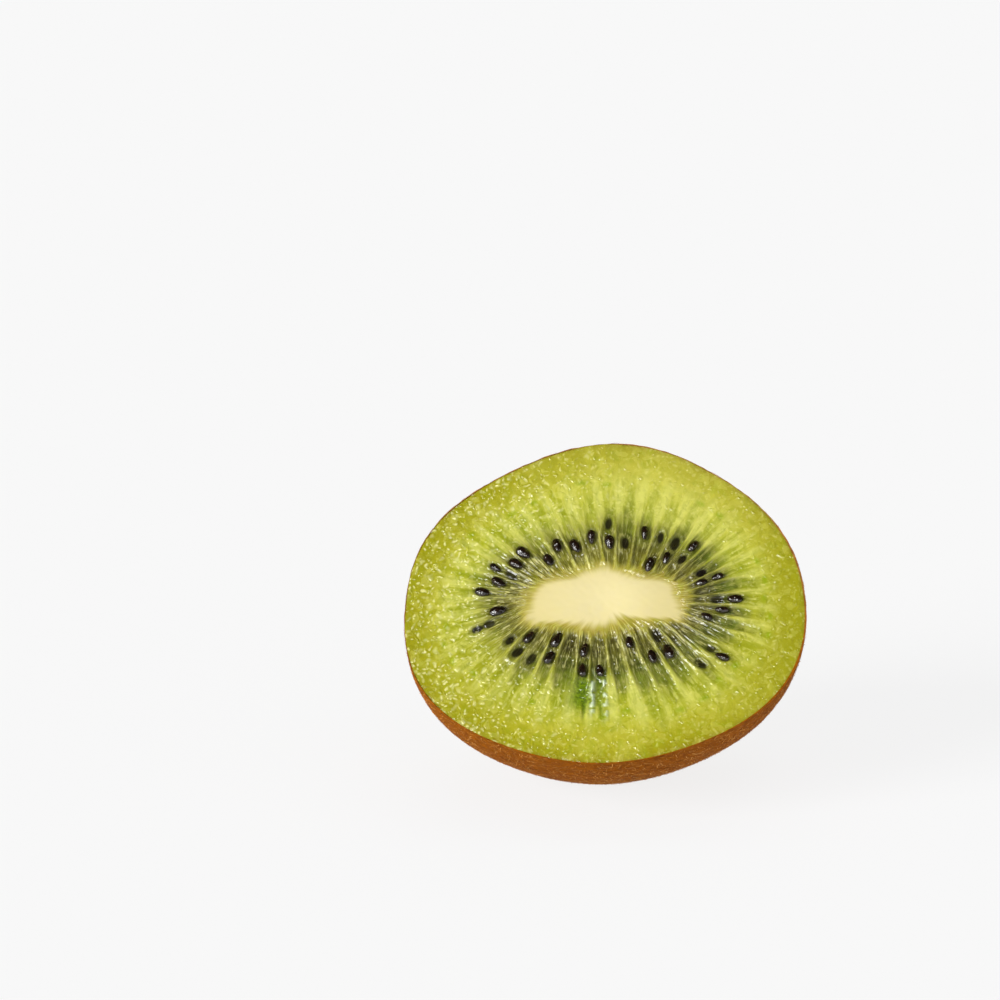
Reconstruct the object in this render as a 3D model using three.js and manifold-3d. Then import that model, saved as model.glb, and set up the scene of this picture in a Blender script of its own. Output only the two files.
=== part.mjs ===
// Kiwi half: one fruit cut crosswise, lying on its rounded side with the cut face turned up and
// forward. Millimetres, +Z up, +X to the face's right, -Y the side that the cut face looks to.
//
// The half is laid out in the frame of its cut face: u to the right, v up the face, and depth
// into the fruit. Every place on the face has two numbers: turn, the angle round the core, and
// reach, 0 at the core's edge and 1 at the skin.

import * as THREE from 'three';
import { mergeVertices } from 'three/addons/utils/BufferGeometryUtils.js';
import Module from 'manifold-3d';

// Cut face
const FACE_WIDTH = 52.56;
const FACE_HEIGHT = 44.32;
const FACE_ROLL = 6.0;            // degrees, the right end of the long axis is the higher
const OUTLINE_WAVES = [           // slow swells of its outline
  { timesRound: 1, phase: 3.43, height: 0.0049 },
  { timesRound: 2, phase: 2.93, height: 0.0051 },
  { timesRound: 3, phase: 3.42, height: 0.0205 },
  { timesRound: 4, phase: 3.62, height: 0.0039 },
  { timesRound: 5, phase: 1.36, height: 0.0045 },
  { timesRound: 6, phase: 5.36, height: 0.0093 },
];
const FACE_SLOPE = 50;            // degrees between the cut face and the floor

// Rounded back
const BACK_DEPTH = 31;
const BACK_ROUNDNESS = 2.2;       // 2 is an ellipse, more is fuller
const BACK_WAVES = [              // slow swells round the back
  { timesRound: 1, phase: 0, height: 0.011 },
  { timesRound: 2, phase: 0.25, height: 0.0018 },
];
const REST_SPOT_DEPTH = 0.8;      // how much of the underside is flattened

// Stem end, a low flat nub at the middle of the back
const STEM_NUB_TOP = 2.7;         // radius of its flat top
const STEM_NUB_FOOT = 4.8;        // radius where it runs out into the back
const STEM_NUB_HEIGHT = 1.3;
const STEM_DIMPLE_RADIUS = 1.4;
const STEM_DIMPLE_DEPTH = 0.7;

// Core
const CORE_WIDTH = 21.8;
const CORE_HEIGHT = 9.0;
const CORE_ROLL = 2.0;            // degrees
const CORE_RISE = 0.6;            // its centre over the face's centre
const CORE_DEPTH = 26;
const CORE_ROUNDNESS = 2.4;
const CORE_CROWN = 0.15;          // how far its middle stands out of the cut
const CORE_GAP = 0.3;             // clearance round the core
const CUTTER_LIFT = 2;            // how far the hollow's cutter stands out of the cut

// Seed chambers, as shallow hollows between radial walls
const CHAMBERS = 40;
const CHAMBER_DEPTH = 0.35;
const CHAMBER_START = 0.05;       // reach where they are fully deep
const CHAMBER_LEVEL = 0.36;       // reach where they start to run out
const CHAMBER_END = 0.62;
const WALL_UNEVENNESS = 0.22;     // of a chamber's width

// Seeds, one word for each chamber, counted anticlockwise from the right end of the core. A letter
// is one seed: A lies next to the core and J half way to the skin, in equal steps. Capitals lie
// open on the cut, and small letters lie under it, so they aren't part of the surface here.
const SEED_ROWS = (
  '- CF d - dG Cf Af F d Dg E D E C F E Gd E G - '
  + 'D hf - e Cf f BE - CF F - B E bE i hJ - D F eH'
).split(' ');
const SEED_ROW_STEP = 0.05;       // of the reach
const SEED_LENGTH = 1.9;
const SEED_WIDTH = 1.08;
const SEED_THICKNESS = 0.92;
const SEED_SIZE_SPREAD = 0.18;
const SEED_STANDS_OUT = 0.2;      // its middle over the chamber's floor
const SEED_TWIST = 0.25;          // radians, the most that one lies off its chamber's line

// Fineness of the facets
const COLUMNS_PER_CHAMBER = 3;
const COLUMNS = CHAMBERS * COLUMNS_PER_CHAMBER;
const FACE_REACHES = [0, 0.05, 0.14, 0.25, 0.36, 0.5, 0.62, 0.85, 1];
const BACK_RINGS = 14;
const NUB_SHARES = [0.205, 0.155, 0.11, 0.055]; // of the outline, where the nub's rings lie
const CORE_COLUMNS = 48;
const CORE_RINGS = 8;
const SEED_SIDES = 6;
const SEED_BANDS = 4;

const radians = THREE.MathUtils.degToRad;
const smooth = THREE.MathUtils.smoothstep;

// The same number between 0 and 1 each time for the same index and series.
function chance(index, series) {
  const wave = Math.sin(index * 12.9898 + series * 78.233) * 43758.5453;
  return wave - Math.floor(wave);
}

// Where the walls between the chambers stand, as turns. The last is the first, one turn on.
const wallTurns = [];
for (let k = 0; k < CHAMBERS; k += 1) {
  const shift = WALL_UNEVENNESS * (chance(k, 1) - 0.5);
  wallTurns.push((2 * Math.PI * (k + shift)) / CHAMBERS);
}
wallTurns.push(wallTurns[0] + 2 * Math.PI);

function columnTurn(column) {
  const wall = Math.floor(column / COLUMNS_PER_CHAMBER) % CHAMBERS;
  const step = (column % COLUMNS_PER_CHAMBER) / COLUMNS_PER_CHAMBER;
  return THREE.MathUtils.lerp(wallTurns[wall], wallTurns[wall + 1], step);
}

// An ellipse's point, rolled by some degrees.
function rolledEllipse(halfWidth, halfHeight, roll, turn) {
  const point = new THREE.Vector2(halfWidth * Math.cos(turn), halfHeight * Math.sin(turn));
  return point.rotateAround(new THREE.Vector2(), radians(roll));
}

// How far waves swell an outline at a turn, as a share of its size.
function swellAt(waves, turn) {
  return waves.reduce(
    (sum, wave) => sum + wave.height * Math.sin(wave.timesRound * turn + wave.phase),
    0,
  );
}

// The skin's edge on the cut face, or with a smaller share a ring of the back, which is rounder.
function faceOutline(turn, share = 1) {
  const point = rolledEllipse(FACE_WIDTH / 2, FACE_HEIGHT / 2, FACE_ROLL, turn);
  return point.multiplyScalar(share * (1 + share ** 2 * swellAt(OUTLINE_WAVES, turn)));
}

function coreOutline(turn, growth = 0) {
  const point = rolledEllipse(CORE_WIDTH / 2 + growth, CORE_HEIGHT / 2 + growth, CORE_ROLL, turn);
  point.y += CORE_RISE;
  return point;
}

function facePlace(turn, reach) {
  return coreOutline(turn).lerp(faceOutline(turn), reach);
}

// How deep the chambers lie under the cut. It is 0 on the walls between them.
function chamberDepth(onWall, reach) {
  const fade = smooth(reach, 0, CHAMBER_START) * (1 - smooth(reach, CHAMBER_LEVEL, CHAMBER_END));
  return onWall ? 0 : CHAMBER_DEPTH * fade;
}

// The nub and dimple of the stem end, as depth added to the back.
function stemRelief(distance) {
  const nub = STEM_NUB_HEIGHT * (1 - smooth(distance, STEM_NUB_TOP, STEM_NUB_FOOT));
  const dimple = STEM_DIMPLE_DEPTH * Math.exp(-((distance / STEM_DIMPLE_RADIUS) ** 2));
  return nub - dimple;
}

// A point of the rounded back. Share is 1 at the face's edge and 0 at the stem end.
function backPlace(turn, share, depth) {
  const bulge = Math.sin((Math.PI * depth) / BACK_DEPTH);
  const point = faceOutline(turn, share).multiplyScalar(1 + bulge * swellAt(BACK_WAVES, turn));
  return new THREE.Vector3(point.x, point.y, -(depth + stemRelief(point.length())));
}

function depthAt(share, fullDepth, roundness) {
  return fullDepth * (1 - share ** roundness) ** (1 / roundness);
}

// Shares from 1 down to 0, close together at the edge, where the surface turns fastest.
function ringShares(rings) {
  const shares = [];
  for (let ring = 1; ring <= rings; ring += 1) {
    const angle = ((Math.PI / 2) * ring) / rings;
    shares.push(ring === rings ? 0 : Math.cos(angle));
  }
  return shares;
}

// A closed round body turned from a ball's outline. Then every point is moved to its place, with the
// rings counted from the cut face, 0 at its middle, to the stem end.
function shapedLathe(rings, columns, place) {
  const outline = [];
  for (let ring = 0; ring < rings; ring += 1) {
    const angle = (Math.PI * ring) / (rings - 1);
    outline.push(new THREE.Vector2(Math.sin(angle), -Math.cos(angle)));
  }
  const geometry = new THREE.LatheGeometry(outline, columns);
  const position = geometry.getAttribute('position');
  for (let column = 0; column <= columns; column += 1) {
    for (let ring = 0; ring < rings; ring += 1) {
      const { x, y, z } = place(column % columns, rings - 1 - ring);
      position.setXYZ(column * rings + ring, x, y, z);
    }
  }
  return geometry;
}

const manifold = await Module();
manifold.setup();

function toSolid(geometry) {
  const bare = geometry.clone();
  bare.deleteAttribute('normal');
  bare.deleteAttribute('uv');
  const merged = mergeVertices(bare, 1e-4);
  const corners = merged.getIndex().array;
  const triangles = [];
  for (let i = 0; i < corners.length; i += 3) {
    const [a, b, c] = corners.slice(i, i + 3);
    if (a !== b && b !== c && c !== a) triangles.push(a, b, c);
  }
  return new manifold.Manifold(new manifold.Mesh({
    numProp: 3,
    vertProperties: new Float32Array(merged.getAttribute('position').array),
    triVerts: new Uint32Array(triangles),
  }));
}

function toGeometry(solid) {
  const mesh = solid.getMesh();
  const geometry = new THREE.BufferGeometry();
  geometry.setAttribute('position', new THREE.BufferAttribute(mesh.vertProperties, 3));
  geometry.setIndex(new THREE.BufferAttribute(mesh.triVerts, 1));
  return geometry;
}

// The whole half as if its core were flesh too.
function halfFruit() {
  const wide = ringShares(BACK_RINGS).filter((share) => share > NUB_SHARES[0] + 0.03);
  const shares = [...wide, ...NUB_SHARES, 0];
  const faceRings = FACE_REACHES.length;
  return shapedLathe(1 + faceRings + shares.length, COLUMNS, (column, ring) => {
    const turn = columnTurn(column);
    if (ring === 0) return new THREE.Vector3(0, CORE_RISE, 0);
    if (ring <= faceRings) {
      const reach = FACE_REACHES[ring - 1];
      const point = facePlace(turn, reach);
      const depth = chamberDepth(column % COLUMNS_PER_CHAMBER === 0, reach);
      return new THREE.Vector3(point.x, point.y, -depth);
    }
    const share = shares[ring - faceRings - 1];
    return backPlace(turn, share, depthAt(share, BACK_DEPTH, BACK_ROUNDNESS));
  });
}

// The core as a tapered plug. Growth widens it, and lift raises its edge out of the cut, for the
// hollow that it stands in.
function coreBody(crown, growth = 0, lift = 0) {
  const shares = ringShares(CORE_RINGS);
  const middle = new THREE.Vector2(0, CORE_RISE);
  return shapedLathe(2 + CORE_RINGS, CORE_COLUMNS, (column, ring) => {
    if (ring === 0) return new THREE.Vector3(middle.x, middle.y, crown);
    const turn = (2 * Math.PI * column) / CORE_COLUMNS;
    const share = ring === 1 ? 1 : shares[ring - 2];
    const height = ring === 1 ? lift : -depthAt(share, CORE_DEPTH + growth, CORE_ROUNDNESS);
    const point = coreOutline(turn, growth).sub(middle).multiplyScalar(share).add(middle);
    return new THREE.Vector3(point.x, point.y, height);
  });
}

function seed(chamber, letter, number) {
  const turn = (wallTurns[chamber] + wallTurns[chamber + 1]) / 2;
  const reach = SEED_ROW_STEP * (letter.charCodeAt(0) - 'A'.charCodeAt(0) + 1);
  const place = facePlace(turn, reach);
  const outward = faceOutline(turn).sub(coreOutline(turn)).angle();
  const size = 1 + SEED_SIZE_SPREAD * (2 * chance(number, 2) - 1);
  const geometry = new THREE.SphereGeometry(size / 2, SEED_SIDES, SEED_BANDS);
  geometry.rotateX(Math.PI / 2);
  geometry.scale(SEED_LENGTH, SEED_WIDTH, SEED_THICKNESS);
  geometry.rotateZ(outward + SEED_TWIST * (2 * chance(number, 3) - 1));
  geometry.translate(place.x, place.y, SEED_STANDS_OUT - chamberDepth(false, reach));
  return geometry;
}

function openSeeds() {
  const seeds = [];
  SEED_ROWS.forEach((row, chamber) => {
    for (const letter of row) {
      if (letter >= 'A' && letter <= 'Z') seeds.push(seed(chamber, letter, seeds.length));
    }
  });
  return seeds;
}

// From the face's frame to the half as it lies.
const lean = new THREE.Matrix4().makeRotationX(radians(FACE_SLOPE));

function laidDown(geometry) {
  return toSolid(geometry.applyMatrix4(lean));
}

function restSpotCutter(lowest) {
  const size = 2 * FACE_WIDTH;
  const block = new THREE.BoxGeometry(size, size, size);
  block.translate(0, 0, lowest + REST_SPOT_DEPTH - size / 2);
  return toSolid(block);
}

const half = openSeeds().reduce((solid, geometry) => solid.add(laidDown(geometry)), laidDown(halfFruit()));
const hollow = laidDown(coreBody(CUTTER_LIFT, CORE_GAP, CUTTER_LIFT));
const cutter = restSpotCutter(half.boundingBox().min[2]);
const fleshGeometry = toGeometry(half.subtract(hollow).subtract(cutter));
const coreGeometry = coreBody(CORE_CROWN).applyMatrix4(lean);

const fleshMaterial = new THREE.MeshStandardMaterial({ color: 0xb4ac34, roughness: 0.35, metalness: 0 });
const coreMaterial = new THREE.MeshStandardMaterial({ color: 0xf0e2a0, roughness: 0.45, metalness: 0 });

const flesh = new THREE.Mesh(fleshGeometry, fleshMaterial);
flesh.name = 'flesh';
const core = new THREE.Mesh(coreGeometry, coreMaterial);
core.name = 'core';

// The origin is under the middle of the half, on the floor.
const box = new THREE.Box3().setFromObject(flesh);
const middle = box.getCenter(new THREE.Vector3());
const kiwiHalf = new THREE.Group();
kiwiHalf.add(flesh, core);
kiwiHalf.position.set(-middle.x, -middle.y, -box.min.z);

export default kiwiHalf;
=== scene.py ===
# Kiwi half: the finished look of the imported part. A fruit cut crosswise lies on its furry back,
# with the wet cut face turned up and forward. Blender works in metres, and the sizes of the
# fruit are given in millimetres in the frame of its cut face: u to the right, v up the face,
# and height out of the face. Every place on the face also has a turn, the angle round the
# core, and a reach, 0 at the core's edge and 1 at the skin.
import math
from types import SimpleNamespace
import bpy
import numpy as np
from mathutils import Matrix, Vector


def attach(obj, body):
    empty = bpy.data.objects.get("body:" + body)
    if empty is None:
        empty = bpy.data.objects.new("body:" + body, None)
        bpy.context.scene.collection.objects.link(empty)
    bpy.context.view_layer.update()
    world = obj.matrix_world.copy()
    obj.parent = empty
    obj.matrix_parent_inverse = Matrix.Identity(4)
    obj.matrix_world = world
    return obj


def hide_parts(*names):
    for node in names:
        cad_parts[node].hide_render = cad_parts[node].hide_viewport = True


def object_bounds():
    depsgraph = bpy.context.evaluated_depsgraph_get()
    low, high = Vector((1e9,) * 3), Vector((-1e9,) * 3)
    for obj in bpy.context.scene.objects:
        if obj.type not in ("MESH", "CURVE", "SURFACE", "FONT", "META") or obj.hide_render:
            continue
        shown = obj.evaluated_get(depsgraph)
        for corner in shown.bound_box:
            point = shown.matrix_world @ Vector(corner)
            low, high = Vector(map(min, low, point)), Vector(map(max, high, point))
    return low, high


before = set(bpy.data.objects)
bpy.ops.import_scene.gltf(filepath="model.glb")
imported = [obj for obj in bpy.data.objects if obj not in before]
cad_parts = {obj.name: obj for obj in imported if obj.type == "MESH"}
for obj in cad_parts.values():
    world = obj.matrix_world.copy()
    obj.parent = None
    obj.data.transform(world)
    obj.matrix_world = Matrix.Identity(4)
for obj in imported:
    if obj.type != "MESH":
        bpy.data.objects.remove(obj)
cad_low, cad_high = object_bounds()

MM = 0.001

# Cut face
FACE_WIDTH = 52.56
FACE_HEIGHT = 44.32
FACE_ROLL = math.radians(6.0)
OUTLINE_WAVES = (  # times round, phase, height
    (1, 3.43, 0.0049), (2, 2.93, 0.0051), (3, 3.42, 0.0205),
    (4, 3.62, 0.0039), (5, 1.36, 0.0045), (6, 5.36, 0.0093),
)
FACE_SLOPE = math.radians(50)

# Rounded back
BACK_DEPTH = 31.0
BACK_ROUNDNESS = 2.2
BACK_WAVES = ((1, 0.0, 0.011), (2, 0.25, 0.0018))  # times round, phase, height
STEM_NUB_TOP = 2.7
STEM_NUB_FOOT = 4.8
STEM_NUB_HEIGHT = 1.3
STEM_DIMPLE_RADIUS = 1.4
STEM_DIMPLE_DEPTH = 0.7
STEM_DEPTHS = (20, 25)  # where the nub can begin

# Core
CORE_WIDTH = 21.8
CORE_HEIGHT = 9.0
CORE_ROLL = math.radians(2.0)
CORE_RISE = 0.6
CORE_DEPTH = 26.0
CORE_ROUNDNESS = 2.4
CORE_CROWN = 0.15

# Seed chambers, and the relief of the cut
CHAMBERS = 40
WALL_UNEVENNESS = 0.22
CHAMBER_DEPTH = 0.35
WALL_HEIGHT = 0.15
SEED_RIM_HEIGHT = 0.2
FIBRE_HEIGHT = 0.08
JUICE_HEIGHT = 0.12
DEEP_STREAK_DEPTH = 0.3
RIM_DROP = 0.08

# Where the cream of the core ends, as a reach, and the lobes that push its edge out or in
CREAM_EDGE = -0.05
CREAM_LOBES = (  # turn and width in degrees, height as a reach
    (92, 16, 0.06), (211, 13, 0.12), (262, 20, 0.03), (326, 9, 0.13), (343, 10, 0.04),
    (6, 18, -0.04), (52, 14, -0.05), (124, 12, -0.03), (168, 14, -0.04), (291, 15, -0.06),
)
CREAM_SCALLOP = 0.03
CREAM_SOFTNESS = 0.08
CREAM_MIDDLE = (9.5, 6)  # how far its palest part reaches across and up

# One deep green, wet streak below the core, a fainter one beside it, and two lines of juice drops
# The drops' pale colour is partly whitish gel and partly painted glints
DEEP_STREAK_TURN = 257.5
FAINT_STREAK = (264, 4, 0.55)
JUICE_TURNS = (261.5, 266.5)
JUICE_WIDTH = 0.9

# Where one side of the cut differs from the others: turn and width in degrees, and how much
CHAMBER_DARKNESS = (
    (160, 50, -0.25), (118, 18, -0.24), (190, 20, -0.2), (357, 30, 0.25), (262, 26, 0.14),
)
WALL_STRENGTH = ((275, 45, -0.4), (322, 28, -0.3))
CORE_SHADOWS = ((2, 22, 0.8), (268, 26, 0.6), (330, 20, 0.3))
GLINT_ROWS = ((165, 45, 0.8), (285, 50, 0.4), (110, 30, 0.3))
RIM_SHADOWS = ((148, 45, 1.4), (335, 30, 1.4), (10, 25, 0.98))
DULL_RIGHT = (333, 32, 1.4)
DULL_LEFT = (212, 26, 1.2)
LIGHT_TOP = (62, 36, 1.0)
# Where the cut is wettest, and where glints are painted densest and brightest
WETTEST_GLINT_TURN = math.radians(170)

# Seeds, one word for each chamber, anticlockwise from the right end of the core. A letter is one
# seed: A lies next to the core and J half way to the skin. Capitals lie open on the cut, and
# small letters lie under its surface.
SEED_ROWS = (
    "- CF d - dG Cf Af F d Dg E D E C F E Gd E G - "
    "D hf - e Cf f BE - CF F - B E bE i hJ - D F eH"
).split()
SEED_ROW_STEP = 0.05
SEED_LENGTH = 1.9
SEED_WIDTH = 1.08
SEED_THICKNESS = 0.92
SEED_SIZE_SPREAD = 0.18
SEED_TWIST = 0.25

# Skin
SKIN_THICKNESS = 0.08
SKIN_EXTRA_RIGHT = 0.13
SKIN_EXTRA_TURN = -0.2
# Painted shade: the skin is darker and redder low beside the cut, where the band lies in shade
BAND_SHADE_SIDE = (-0.5, 0.6)  # painted shade, darker and redder, below the first height, as a share of the radius
BAND_SHADE_DEPTHS = (8, 26)
BAND_SHADE_PATCH_SIZE = 6.0
BAND_SHADE_PATCH_DEPTH = 3

# Camera, as the photograph was taken
CAMERA_DISTANCE = 450.0
CAMERA_BELOW_NORMAL = math.radians(21.8)
CAMERA_RIGHT_OF_NORMAL = math.radians(0.7)
PICTURE_SIZE = 1000
PIXELS_PER_MM = 7.69
FACE_CENTRE_PIXEL = (604.5, 603.3)
SENSOR = 36.0


def chance(index, series):
    """The same number between 0 and 1 each time for the same index and series."""
    wave = np.sin(np.asarray(index) * 12.9898 + series * 78.233) * 43758.5453
    return wave - np.floor(wave)


def pick(index, series, low, high):
    """A number between low and high, picked by chance."""
    return low + (high - low) * chance(index, series)


def smooth(low, high, value):
    """0 below low, 1 above high, and a soft step between."""
    share = np.clip((value - low) / (high - low), 0, 1)
    return share * share * (3 - 2 * share)


def between(reach, rise, fall, rise_shift=0.0, fall_shift=0.0):
    """1 from a soft rise to a soft fall, whose shifts make their edges ragged."""
    return smooth(*rise, reach + rise_shift) * (1 - smooth(*fall, reach + fall_shift))


def bell(value, width):
    return np.exp(-((value / width) ** 2))


def near_turn(turn, middle, width):
    """1 at a turn given in degrees and falling off round it, with the width also in degrees."""
    offset = np.mod(turn - math.radians(middle) + np.pi, 2 * np.pi) - np.pi
    return bell(offset, np.radians(width))


def lobes(turn, *places):
    """The sum of soft lobes round the core, each given as turn, width and height."""
    return sum(height * near_turn(turn, middle, width) for middle, width, height in places)


def cell_values(cells, series):
    """A fixed random number between 0 and 1 for each whole-numbered cell."""
    x, y, z = (cells[..., axis].astype(np.int64) for axis in range(3))
    mixed = (x * 73856093) ^ (y * 19349663) ^ (z * 83492791) ^ (series * 97531)
    mixed = ((mixed ^ (mixed >> 13)) * 1274126177) & 0xFFFFFFFF
    return ((mixed ^ (mixed >> 16)) & 0xFFFF) / 0xFFFF


def noise(points, size, series):
    """Soft noise between -1 and 1, with grains of the given size."""
    scaled = np.asarray(points, float) / size
    cells = np.floor(scaled)
    inside = scaled - cells
    inside = inside * inside * (3 - 2 * inside)
    total = np.zeros(scaled.shape[:-1])
    for corner in np.ndindex(2, 2, 2):
        weight = np.prod(np.where(corner, inside, 1 - inside), axis=-1)
        total += weight * cell_values(cells + corner, series)
    return 2 * total - 1


def swells(points, *grains):
    """Small swells in millimetres, for grains given as size, height and noise number."""
    return sum(height * noise(points, size, series) for size, height, series in grains)


# The cut face's frame in the world
right_way = np.array([1.0, 0.0, 0.0])
up_way = np.array([0.0, math.cos(FACE_SLOPE), math.sin(FACE_SLOPE)])
out_way = np.array([0.0, -math.sin(FACE_SLOPE), math.cos(FACE_SLOPE)])


def unit(vectors):
    return vectors / np.linalg.norm(vectors, axis=-1, keepdims=True)


def even_turns(count):
    return np.linspace(0, 2 * np.pi, count, endpoint=False)


def raised(places, height):
    """Places of the face, raised to a height."""
    return np.concatenate([places, height[..., None]], -1)


def rolled_ellipse(half_width, half_height, roll, turn):
    x = half_width * np.cos(turn)
    y = half_height * np.sin(turn)
    rolled_x = x * math.cos(roll) - y * math.sin(roll)
    rolled_y = x * math.sin(roll) + y * math.cos(roll)
    return np.stack([rolled_x, rolled_y], -1)


def swell_at(waves, turn):
    """How far waves swell an outline at a turn, as a share of its size."""
    return sum(height * np.sin(times * turn + phase) for times, phase, height in waves)


def face_outline(turn, share=1.0):
    """The skin's edge on the cut, or with a smaller share a rounder ring of the back."""
    swell = share * (1 + np.square(share) * swell_at(OUTLINE_WAVES, turn))
    return rolled_ellipse(FACE_WIDTH / 2, FACE_HEIGHT / 2, FACE_ROLL, turn) * swell[..., None]


def core_outline(turn):
    return rolled_ellipse(CORE_WIDTH / 2, CORE_HEIGHT / 2, CORE_ROLL, turn) + [0, CORE_RISE]


def skin_thickness(turn):
    return SKIN_THICKNESS + SKIN_EXTRA_RIGHT * smooth(0.7, 1.0, np.cos(turn - SKIN_EXTRA_TURN))


def face_place(turn, reach):
    reach = np.asarray(reach)[..., None]
    return core_outline(turn) * (1 - reach) + face_outline(turn) * reach


face_edge = face_outline(np.linspace(0, 2 * np.pi, 721))
face_centre = np.array([
    (cad_low.x + cad_high.x) / 2 / MM - (face_edge[:, 0].max() + face_edge[:, 0].min()) / 2,
    cad_low.y / MM - face_edge[:, 1].min() * up_way[1],
    cad_high.z / MM - face_edge[:, 1].max() * up_way[2],
])


def to_world(places):
    """Metres in the world for places given as u, v and height in millimetres."""
    ways = np.stack([right_way, up_way, out_way])
    return (face_centre + np.asarray(places) @ ways) * MM


# Seeds: where each lies, which way it points and how big it is
wall_order = np.arange(CHAMBERS)
wall_turns = 2 * np.pi * (wall_order + WALL_UNEVENNESS * (chance(wall_order, 1) - 0.5)) / CHAMBERS
wall_turns = np.append(wall_turns, wall_turns[0] + 2 * np.pi)
seeds = []
for chamber, row in enumerate(SEED_ROWS):
    for letter in row:
        if not letter.isalpha():
            continue
        turn = np.array((wall_turns[chamber] + wall_turns[chamber + 1]) / 2)
        open_before = sum(seed["open"] for seed in seeds)
        outward = face_outline(turn) - core_outline(turn)
        twist = pick(open_before, 3, -SEED_TWIST, SEED_TWIST)
        seeds.append({
            "open": letter.isupper(),
            "place": face_place(turn, SEED_ROW_STEP * (ord(letter.upper()) - ord("A") + 1)),
            "angle": math.atan2(outward[1], outward[0]) + twist,
            "size": pick(open_before, 2, 1 - SEED_SIZE_SPREAD, 1 + SEED_SIZE_SPREAD),
            "number": len(seeds),
        })


def seed_distance(seed, places):
    """0 at a seed's middle and 1 at its edge, for places on the face."""
    offset = places - seed["place"]
    cos, sin = math.cos(seed["angle"]), math.sin(seed["angle"])
    along = offset[..., 0] * cos + offset[..., 1] * sin
    across = offset[..., 1] * cos - offset[..., 0] * sin
    half_length = SEED_LENGTH / 2 * seed["size"]
    half_width = SEED_WIDTH / 2 * seed["size"]
    return np.hypot(along / half_length, across / half_width)


def chamber_numbers(turn):
    """Which chamber each turn lies in, and how near its wall: 0 in the middle, 1 on the wall."""
    turn = np.mod(turn - wall_turns[0], 2 * np.pi) + wall_turns[0]
    chamber = np.clip(np.searchsorted(wall_turns, turn, side="right") - 1, 0, CHAMBERS - 1)
    share = (turn - wall_turns[chamber]) / (wall_turns[chamber + 1] - wall_turns[chamber])
    return chamber, np.abs(2 * share - 1)


class Grain:
    """Noise along the rays and across the cut, and how each place lies in its seed chamber."""

    def __init__(self, turn, reach, places):
        self.flat = raised(places, 0 * reach)
        ray = np.stack([np.cos(turn), np.sin(turn), reach], -1)
        self.streak = noise(ray * [26, 26, 2.5], 1, 5)
        self.fine_streak = noise(ray * [45, 45, 5], 1, 6)
        self.patch = noise(ray * [16, 16, 9], 1, 8)
        self.blotch = noise(self.flat, 1.3, 7)
        wander = 0.008 * noise(self.flat, 3.5, 9) * smooth(0.05, 0.3, reach)
        self.chamber, self.wallward = chamber_numbers(turn + wander)
        # How much farther out this chamber ends
        longer = 0.064 * np.cos(turn + np.pi / 4) + 0.015 * np.cos(2 * turn)
        self.longer = longer + pick(self.chamber, 11, -0.08, 0.08) + 0.04 * self.streak


def chamber_mask(turn, reach, grain):
    """The dark seed chambers, widest near the core and pointed at their outer ends."""
    narrowing = smooth(0.24, 0.66, reach - grain.longer)
    half_width = 0.7 + 0.22 * smooth(0.0, 0.12, reach) - 0.6 * narrowing
    ragged = grain.wallward + 0.28 * grain.fine_streak + 0.14 * grain.streak
    across = 1 - smooth(half_width - 0.4, half_width + 0.16, ragged)
    start_shift = 0.03 * grain.streak + 0.02 * grain.blotch
    end_shift = 0.06 * grain.blotch - grain.longer
    along = between(reach, (-0.02, 0.07), (0.25, 0.58), start_shift, end_shift)
    darkness = pick(grain.chamber, 12, 0.8, 1.0) * (0.9 + 0.1 * grain.blotch)
    return across * along * darkness * (1 + lobes(turn, *CHAMBER_DARKNESS))


def wall_mask(turn, reach, grain):
    """The pale walls between the chambers, broken up in patches."""
    patches = np.clip(0.55 + 0.6 * grain.patch + 0.3 * grain.blotch, 0, 1)
    wall = smooth(0.7, 0.97, grain.wallward + 0.16 * grain.fine_streak) * patches
    wall = wall * between(reach, (0.0, 0.08), (0.22, 0.46), fall_shift=0.06 * grain.streak)
    return wall * (1 + lobes(turn, *WALL_STRENGTH))


def ray_masks(reach, grain):
    """The pale rays that run on outward from the walls, and the green ones between them."""
    pale = smooth(0.3, 0.95, grain.wallward + 0.25 * grain.streak + 0.15 * grain.fine_streak)
    pale = pale * between(reach, (0.3, 0.48), (0.6, 0.84), fall_shift=0.06 * grain.streak)
    green = 1 - smooth(0.0, 0.9, grain.wallward + 0.4 * grain.streak + 0.2 * grain.blotch)
    end_shift = 0.1 * grain.streak - grain.longer
    green = green * between(reach, (0.3, 0.45), (0.5, 0.76), fall_shift=end_shift)
    return pale, green


def bundle_mask(reach, grain):
    """Small green dots beyond some of the chambers, where bundles of fibre are cut."""
    bundle_reach = pick(grain.chamber, 17, 0.61, 0.71)
    shown = chance(grain.chamber, 18) > 0.45
    return bell(reach - bundle_reach, 0.02) * bell(grain.wallward - 0.1, 0.3) * shown


def seed_masks(places, blotch):
    """The shade and the rim of juice round each seed, and the seeds under the cut."""
    halo, rim, sunk = np.zeros((3, *places.shape[:-1]))
    for seed in seeds:
        distance = seed_distance(seed, places)
        halo = np.maximum(halo, bell(distance, 1.5))
        rim = np.maximum(rim, bell(distance - 1.35, 0.3) * pick(seed["number"], 19, 0.4, 1.0))
        if not seed["open"]:
            inside = 1 - smooth(0.65, 1.05, distance + 0.12 * blotch)
            sunk = np.maximum(sunk, inside * pick(seed["number"], 13, 0.86, 1.0))
    return halo, rim, sunk


def cream_mask(turn, reach, grain):
    """The cream of the core, with a lobed edge that is scalloped by the walls below it."""
    edge = CREAM_EDGE + lobes(turn, *CREAM_LOBES)
    edge = edge + CREAM_SCALLOP * smooth(0, -0.6, np.sin(turn)) * (grain.wallward - 0.5)
    ragged = reach - edge + 0.014 * grain.blotch + 0.012 * grain.fine_streak
    return 1 - smooth(-CREAM_SOFTNESS, CREAM_SOFTNESS, ragged)


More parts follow.
